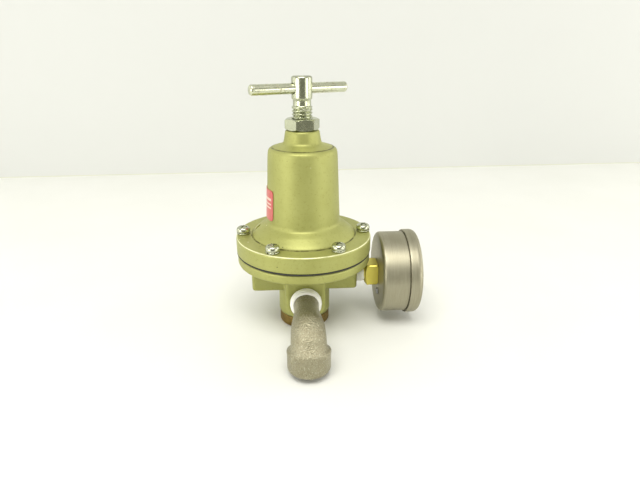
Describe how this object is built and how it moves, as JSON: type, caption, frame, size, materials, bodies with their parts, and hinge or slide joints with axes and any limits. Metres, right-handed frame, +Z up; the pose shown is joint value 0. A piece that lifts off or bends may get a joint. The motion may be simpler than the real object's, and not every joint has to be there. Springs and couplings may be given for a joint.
{
  "type": "water pressure regulator",
  "caption": "Pressure regulator with a tee adjusting screw, domed bonnet on a bolted flange, back-mounted round gauge and street elbow.",
  "frame": {"origin": "centre of the bottom plug's underside, on the axis of the bonnet and adjusting screw", "axes": "+Z up along the adjusting screw, +X towards the gauge's dial, -Y towards the elbow"},
  "size_m": [0.1206, 0.1239, 0.1628],
  "materials": {
    "olive_paint": "satin olive-gold enamel on a die casting",
    "zinc_plate": "bright zinc plate, worn",
    "stainless_case": "brushed round the axis",
    "cast_stainless": "grainy as-cast surface",
    "bronze": "tarnished bronze, turned",
    "brass": "bright machined",
    "spring_steel": "oiled",
    "black_rubber": "matt",
    "white_tape": "wrapped thread-seal tape",
    "red_plate": "printed plate",
    "clear_lens": "clear",
    "dial_white": "white enamel with a printed scale",
    "pointer_black": "black enamel"
  },
  "bodies": {
    "housing": {"body": "olive_paint", "bonnet": "olive_paint", "port_plug": "zinc_plate", "bonnet_screw_1": "zinc_plate", "bonnet_screw_2": "zinc_plate", "bonnet_screw_3": "zinc_plate", "bonnet_screw_4": "zinc_plate", "bonnet_screw_5": "zinc_plate", "bonnet_screw_6": "zinc_plate", "lock_washer_1": "zinc_plate", "lock_washer_2": "zinc_plate", "lock_washer_3": "zinc_plate", "lock_washer_4": "zinc_plate", "lock_washer_5": "zinc_plate", "lock_washer_6": "zinc_plate", "gauge_case": "stainless_case", "gauge_bezel": "stainless_case", "elbow": "cast_stainless", "bottom_plug": "bronze", "seat_ring": "brass", "gauge_socket": "brass", "movement_plate": "brass", "bourdon_tube": "brass", "valve_spring": "spring_steel", "case_screw_1": "spring_steel", "case_screw_2": "spring_steel", "diaphragm": "black_rubber", "plug_seal": "black_rubber", "elbow_tape": "white_tape", "gauge_tape": "white_tape", "nameplate": "red_plate", "gauge_lens": "clear_lens", "gauge_dial": "dial_white"},
    "adjusting_screw": {"adjusting_screw": "zinc_plate", "tommy_bar": "zinc_plate"},
    "spring_button": {"spring_button": "zinc_plate"},
    "lock_nut": {"lock_nut": "zinc_plate"},
    "diaphragm_stack": {"diaphragm_plate": "zinc_plate", "diaphragm_nut": "zinc_plate", "diaphragm_retainer": "brass", "range_spring": "spring_steel"},
    "valve": {"valve_poppet": "brass", "valve_disc": "black_rubber"},
    "gauge_pointer": {"gauge_pointer": "pointer_black", "gauge_pinion": "brass"},
    "gauge_sector": {"gauge_sector": "brass"}
  },
  "joints": [
    {"name": "screw_feed", "type": "slide", "parent": "housing", "child": "spring_button", "axis": [0, 0, 1], "range_m": [-0.0099, 0.0099], "deforming": ["range_spring"]},
    {"name": "screw_turn", "type": "hinge", "parent": "spring_button", "child": "adjusting_screw", "pos_m": [0, 0, 0.1336], "axis": [0, 0, 1], "range_deg": [-1800, 1800]},
    {"name": "lock_nut_turn", "type": "hinge", "parent": "housing", "child": "lock_nut", "pos_m": [0, 0, 0.1346], "axis": [0, 0, 1], "range_deg": [0, 90]},
    {"name": "diaphragm_lift", "type": "slide", "parent": "housing", "child": "diaphragm_stack", "axis": [0, 0, 1], "range_m": [-0.0015, 0], "deforming": ["diaphragm"]},
    {"name": "valve_travel", "type": "slide", "parent": "housing", "child": "valve", "axis": [0, 0, 1], "range_m": [-0.0015, 0], "stiffness_N_per_m": 2000, "springref_m": 0.0012, "deforming": ["valve_spring"]},
    {"name": "pointer_turn", "type": "hinge", "parent": "housing", "child": "gauge_pointer", "pos_m": [0.06, 0, 0.0336], "axis": [-1, 0, 0], "range_deg": [0, 270], "stiffness_Nm_per_rad": 0.0005, "springref_deg": -17.19},
    {"name": "sector_turn", "type": "hinge", "parent": "housing", "child": "gauge_sector", "pos_m": [0.06, 0, 0.023], "axis": [1, 0, 0], "range_deg": [0, 58]}
  ],
  "couplings": [
    {"joint": "screw_feed", "follows": "screw_turn", "m_per_rad": 0.00031096},
    {"joint": "valve_travel", "follows": "diaphragm_lift", "ratio": 1},
    {"joint": "sector_turn", "follows": "pointer_turn", "ratio": 0.21176}
  ]
}
